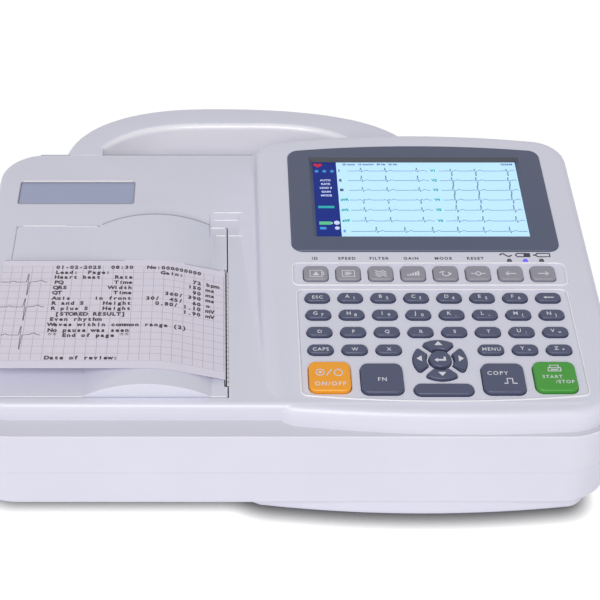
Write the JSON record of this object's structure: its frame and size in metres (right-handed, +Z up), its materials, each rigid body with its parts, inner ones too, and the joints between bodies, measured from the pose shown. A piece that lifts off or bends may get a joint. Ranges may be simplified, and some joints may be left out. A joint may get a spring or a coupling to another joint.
{
  "type": "portable ecg machine",
  "caption": "Portable ECG machine with a tilted keypad console and display, a hinged paper door over a thermal printer, and a moulded carry handle.",
  "frame": {"origin": "on the standing plane under the feet, in the middle of the plan with the handle", "axes": "+X to the operator's right, +Y to the back where the handle is, +Z up; the front with the keys faces -Y"},
  "size_m": [0.31, 0.259, 0.0856],
  "materials": {
    "case_abs": "fine satin",
    "bezel_abs": "satin",
    "key_grey": "satin",
    "key_slate": "satin",
    "key_orange": "satin",
    "key_green": "satin",
    "plate_film": "satin film",
    "display_glass": "gloss",
    "light_pipe": "gloss",
    "silicone": "matt",
    "circuit_board": "solder mask",
    "head_aluminium": "extruded",
    "steel": "plain",
    "roller_rubber": "ground",
    "gear_nylon": "moulded",
    "brass": "nickelled",
    "motor_can": "zinc",
    "chassis_abs": "moulded",
    "paper": "thermal paper",
    "battery_wrap": "shrink film",
    "connector_black": "moulded",
    "connector_metal": "nickelled",
    "foot_rubber": "matt"
  },
  "bodies": {
    "case": {"top_housing": "case_abs", "bottom_housing": "case_abs", "carry_handle": "case_abs", "door_hinge_pins": "steel", "name_plate": "plate_film", "display_bezel": "bezel_abs", "lcd_panel": "display_glass", "status_leds": "light_pipe", "key_mat": "silicone", "keypad_board": "circuit_board", "thermal_print_head": "head_aluminium", "head_spring": "steel", "feed_motor": "motor_can", "printer_chassis": "chassis_abs", "tear_bar": "steel", "main_board": "circuit_board", "power_supply": "circuit_board", "battery_pack": "battery_wrap", "battery_cover": "case_abs", "mains_inlet": "connector_black", "switch_frame": "connector_black", "equipotential_terminal": "brass", "patient_port": "connector_metal", "side_ports": "connector_metal", "speaker": "motor_can", "rubber_feet": "foot_rubber", "case_screws": "steel"},
    "door": {"paper_door": "case_abs", "paper_strip": "paper"},
    "platen": {"platen_roller": "roller_rubber", "platen_gear": "gear_nylon"},
    "idler": {"idler_gear": "gear_nylon"},
    "pinion": {"motor_pinion": "brass"},
    "roll": {"paper_roll": "paper", "roll_spindle": "chassis_abs"},
    "rocker": {"mains_switch": "connector_black"},
    "key_f1_cap": {"key_f1": "key_grey"},
    "key_f2_cap": {"key_f2": "key_grey"},
    "key_f3_cap": {"key_f3": "key_grey"},
    "key_f4_cap": {"key_f4": "key_grey"},
    "key_f5_cap": {"key_f5": "key_grey"},
    "key_f6_cap": {"key_f6": "key_grey"},
    "key_f7_cap": {"key_f7": "key_grey"},
    "key_f8_cap": {"key_f8": "key_grey"},
    "key_up_cap": {"key_up": "key_slate"},
    "key_down_cap": {"key_down": "key_slate"},
    "key_left_cap": {"key_left": "key_slate"},
    "key_right_cap": {"key_right": "key_slate"},
    "key_ok_cap": {"key_ok": "key_slate"},
    "key_power_cap": {"key_power": "key_orange"},
    "key_shift_cap": {"key_shift": "key_slate"},
    "key_space_cap": {"key_space": "key_slate"},
    "key_copy_cap": {"key_copy": "key_slate"},
    "key_start_cap": {"key_start": "key_green"},
    "letter_keys_row_1_caps": {"letter_keys_row_1": "key_slate"},
    "letter_keys_row_2_caps": {"letter_keys_row_2": "key_slate"},
    "letter_keys_row_3_caps": {"letter_keys_row_3": "key_slate"},
    "letter_keys_row_4_caps": {"letter_keys_row_4": "key_slate"}
  },
  "joints": [
    {"name": "door_hinge", "type": "hinge", "parent": "case", "child": "door", "pos_m": [-0.1363, 0, 0.0668], "axis": [0, -1, 0], "range_deg": [0, 55]},
    {"name": "platen_spin", "type": "hinge", "parent": "door", "child": "platen", "pos_m": [-0.0359, 0, 0.0585], "axis": [0, -1, 0], "continuous": true},
    {"name": "roll_spin", "type": "hinge", "parent": "case", "child": "roll", "pos_m": [-0.0656, 0, 0.046], "axis": [0, -1, 0], "continuous": true},
    {"name": "idler_spin", "type": "hinge", "parent": "case", "child": "idler", "pos_m": [-0.0359, 0, 0.0435], "axis": [0, -1, 0], "continuous": true},
    {"name": "pinion_spin", "type": "hinge", "parent": "case", "child": "pinion", "pos_m": [-0.0359, 0, 0.0309], "axis": [0, -1, 0], "continuous": true},
    {"name": "mains_rocker", "type": "hinge", "parent": "case", "child": "rocker", "pos_m": [0.15, 0.0205, 0.033], "axis": [0, 0, 1], "range_deg": [0, 16]},
    {"name": "key_f1_press", "type": "slide", "parent": "case", "child": "key_f1_cap", "axis": [0, 0.0872, -0.9962], "range_m": [0, 0.0009], "stiffness_N_per_m": 200, "springref_m": -0.001},
    {"name": "key_f2_press", "type": "slide", "parent": "case", "child": "key_f2_cap", "axis": [0, 0.0872, -0.9962], "range_m": [0, 0.0009], "stiffness_N_per_m": 200, "springref_m": -0.001},
    {"name": "key_f3_press", "type": "slide", "parent": "case", "child": "key_f3_cap", "axis": [0, 0.0872, -0.9962], "range_m": [0, 0.0009], "stiffness_N_per_m": 200, "springref_m": -0.001},
    {"name": "key_f4_press", "type": "slide", "parent": "case", "child": "key_f4_cap", "axis": [0, 0.0872, -0.9962], "range_m": [0, 0.0009], "stiffness_N_per_m": 200, "springref_m": -0.001},
    {"name": "key_f5_press", "type": "slide", "parent": "case", "child": "key_f5_cap", "axis": [0, 0.0872, -0.9962], "range_m": [0, 0.0009], "stiffness_N_per_m": 200, "springref_m": -0.001},
    {"name": "key_f6_press", "type": "slide", "parent": "case", "child": "key_f6_cap", "axis": [0, 0.0872, -0.9962], "range_m": [0, 0.0009], "stiffness_N_per_m": 200, "springref_m": -0.001},
    {"name": "key_f7_press", "type": "slide", "parent": "case", "child": "key_f7_cap", "axis": [0, 0.0872, -0.9962], "range_m": [0, 0.0009], "stiffness_N_per_m": 200, "springref_m": -0.001},
    {"name": "key_f8_press", "type": "slide", "parent": "case", "child": "key_f8_cap", "axis": [0, 0.0872, -0.9962], "range_m": [0, 0.0009], "stiffness_N_per_m": 200, "springref_m": -0.001},
    {"name": "key_up_press", "type": "slide", "parent": "case", "child": "key_up_cap", "axis": [0, 0.0872, -0.9962], "range_m": [0, 0.0009], "stiffness_N_per_m": 200, "springref_m": -0.001},
    {"name": "key_down_press", "type": "slide", "parent": "case", "child": "key_down_cap", "axis": [0, 0.0872, -0.9962], "range_m": [0, 0.0009], "stiffness_N_per_m": 200, "springref_m": -0.001},
    {"name": "key_left_press", "type": "slide", "parent": "case", "child": "key_left_cap", "axis": [0, 0.0872, -0.9962], "range_m": [0, 0.0009], "stiffness_N_per_m": 200, "springref_m": -0.001},
    {"name": "key_right_press", "type": "slide", "parent": "case", "child": "key_right_cap", "axis": [0, 0.0872, -0.9962], "range_m": [0, 0.0009], "stiffness_N_per_m": 200, "springref_m": -0.001},
    {"name": "key_ok_press", "type": "slide", "parent": "case", "child": "key_ok_cap", "axis": [0, 0.0872, -0.9962], "range_m": [0, 0.0009], "stiffness_N_per_m": 200, "springref_m": -0.001},
    {"name": "key_power_press", "type": "slide", "parent": "case", "child": "key_power_cap", "axis": [0, 0.0872, -0.9962], "range_m": [0, 0.0009], "stiffness_N_per_m": 200, "springref_m": -0.001},
    {"name": "key_shift_press", "type": "slide", "parent": "case", "child": "key_shift_cap", "axis": [0, 0.0872, -0.9962], "range_m": [0, 0.0009], "stiffness_N_per_m": 200, "springref_m": -0.001},
    {"name": "key_space_press", "type": "slide", "parent": "case", "child": "key_space_cap", "axis": [0, 0.0872, -0.9962], "range_m": [0, 0.0009], "stiffness_N_per_m": 200, "springref_m": -0.001},
    {"name": "key_copy_press", "type": "slide", "parent": "case", "child": "key_copy_cap", "axis": [0, 0.0872, -0.9962], "range_m": [0, 0.0009], "stiffness_N_per_m": 200, "springref_m": -0.001},
    {"name": "key_start_press", "type": "slide", "parent": "case", "child": "key_start_cap", "axis": [0, 0.0872, -0.9962], "range_m": [0, 0.0009], "stiffness_N_per_m": 200, "springref_m": -0.001},
    {"name": "letters_row_1_press", "type": "slide", "parent": "case", "child": "letter_keys_row_1_caps", "axis": [0, 0.0872, -0.9962], "range_m": [0, 0.0009], "stiffness_N_per_m": 200, "springref_m": -0.001},
    {"name": "letters_row_2_press", "type": "slide", "parent": "case", "child": "letter_keys_row_2_caps", "axis": [0, 0.0872, -0.9962], "range_m": [0, 0.0009], "stiffness_N_per_m": 200, "springref_m": -0.001},
    {"name": "letters_row_3_press", "type": "slide", "parent": "case", "child": "letter_keys_row_3_caps", "axis": [0, 0.0872, -0.9962], "range_m": [0, 0.0009], "stiffness_N_per_m": 200, "springref_m": -0.001},
    {"name": "letters_row_4_press", "type": "slide", "parent": "case", "child": "letter_keys_row_4_caps", "axis": [0, 0.0872, -0.9962], "range_m": [0, 0.0009], "stiffness_N_per_m": 200, "springref_m": -0.001}
  ],
  "couplings": [
    {"joint": "platen_spin", "follows": "roll_spin", "ratio": 4.3103},
    {"joint": "idler_spin", "follows": "roll_spin", "ratio": -2.8736},
    {"joint": "pinion_spin", "follows": "roll_spin", "ratio": 7.1839}
  ]
}
